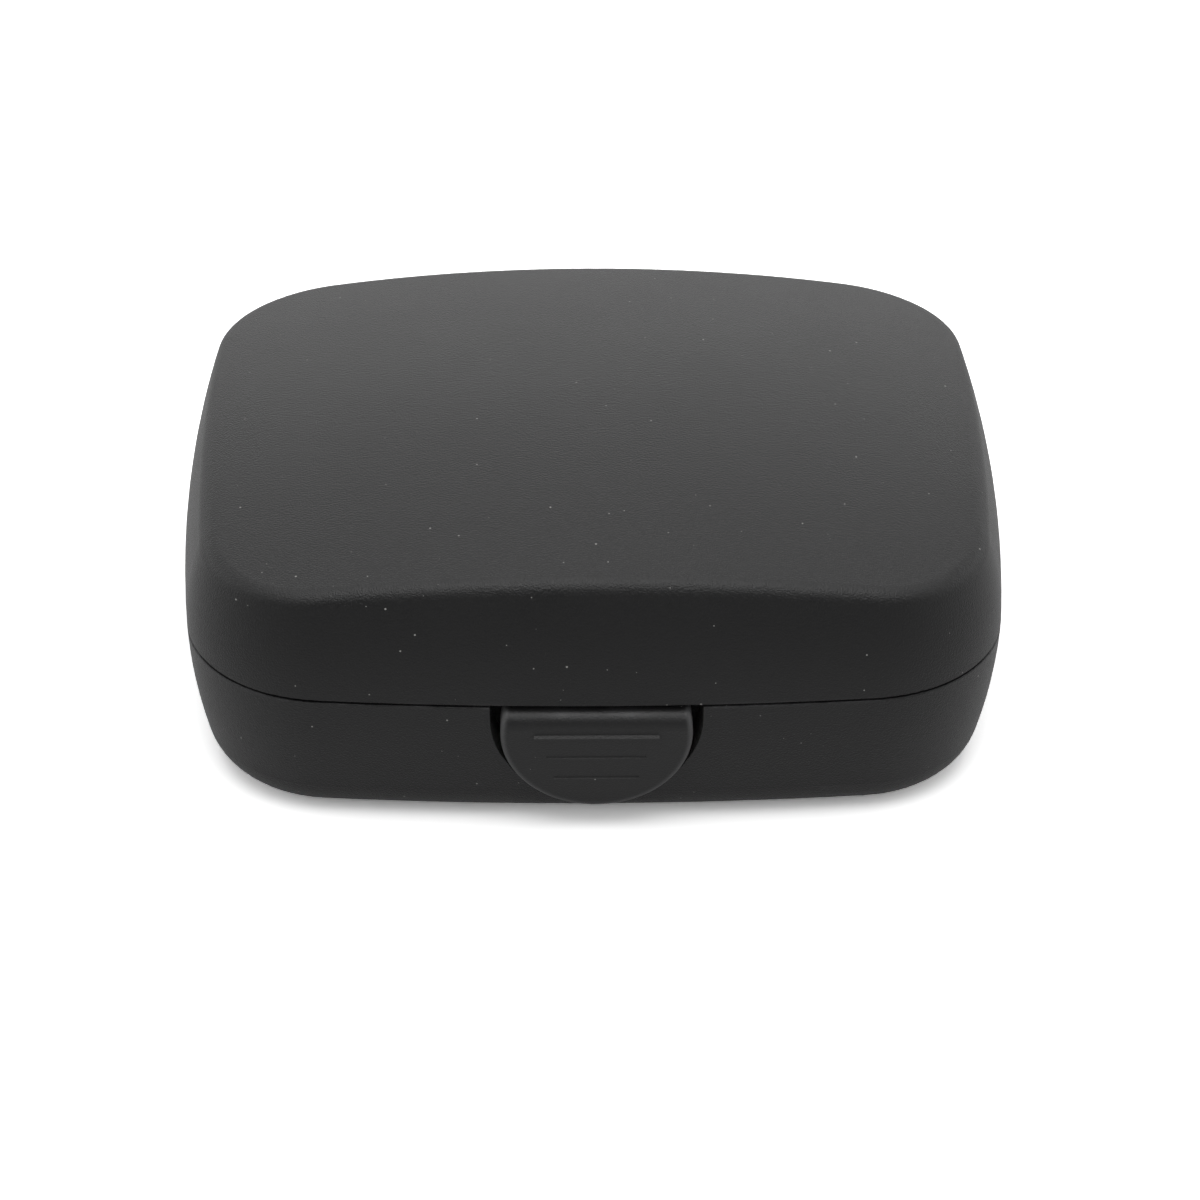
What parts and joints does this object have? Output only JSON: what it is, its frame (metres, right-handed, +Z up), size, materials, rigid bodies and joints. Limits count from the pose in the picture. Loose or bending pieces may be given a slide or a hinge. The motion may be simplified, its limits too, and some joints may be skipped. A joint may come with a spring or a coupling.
{
  "type": "hearing aid case",
  "caption": "Black pocket hard case for hearing aids: crowned lid on a rear hinge, ribbed press latch in front, padded wells and a battery compartment inside.",
  "frame": {"origin": "middle of the flat standing face under the base", "axes": "+X to the right along the width, -Y to the front with the latch, +Z up"},
  "size_m": [0.08, 0.0654, 0.03],
  "materials": {
    "case_plastic": "black moulded plastic with a fine spark-eroded texture",
    "latch_plastic": "black moulded plastic, the same texture a little worn smooth",
    "tray_plastic": "dark grey moulded plastic, satin",
    "foam": "fine open-cell charcoal foam",
    "steel": "bright drawn steel",
    "blue_marker": "blue moulded plastic for the left aid",
    "red_marker": "red moulded plastic for the right aid"
  },
  "bodies": {
    "base": {"base_shell": "case_plastic", "tray": "tray_plastic", "tray_screws": "steel", "left_well_pad": "foam", "right_well_pad": "foam", "pocket_pads": "foam", "left_marker": "blue_marker", "right_marker": "red_marker", "hinge_pin": "steel", "latch_pin": "steel", "latch_spring": "steel", "flap_pin": "steel"},
    "lid": {"lid_shell": "case_plastic", "left_lid_pad": "foam", "right_lid_pad": "foam"},
    "latch": {"latch_tab": "latch_plastic"},
    "flap": {"battery_flap": "tray_plastic"}
  },
  "joints": [
    {"name": "lid_hinge", "type": "hinge", "parent": "base", "child": "lid", "pos_m": [0, 0.03108, 0.0149], "axis": [-1, 0, 0], "range_deg": [0, 110]},
    {"name": "latch_press", "type": "hinge", "parent": "base", "child": "latch", "pos_m": [0, -0.02842, 0.0059], "axis": [-1, 0, 0], "range_deg": [0, 6], "stiffness_Nm_per_rad": 0.12, "springref_deg": -5.73, "deforming": ["latch_spring"]},
    {"name": "flap_hinge", "type": "hinge", "parent": "base", "child": "flap", "pos_m": [-0.0056, 0, 0.01298], "axis": [0, -1, 0], "range_deg": [0, 95]}
  ]
}
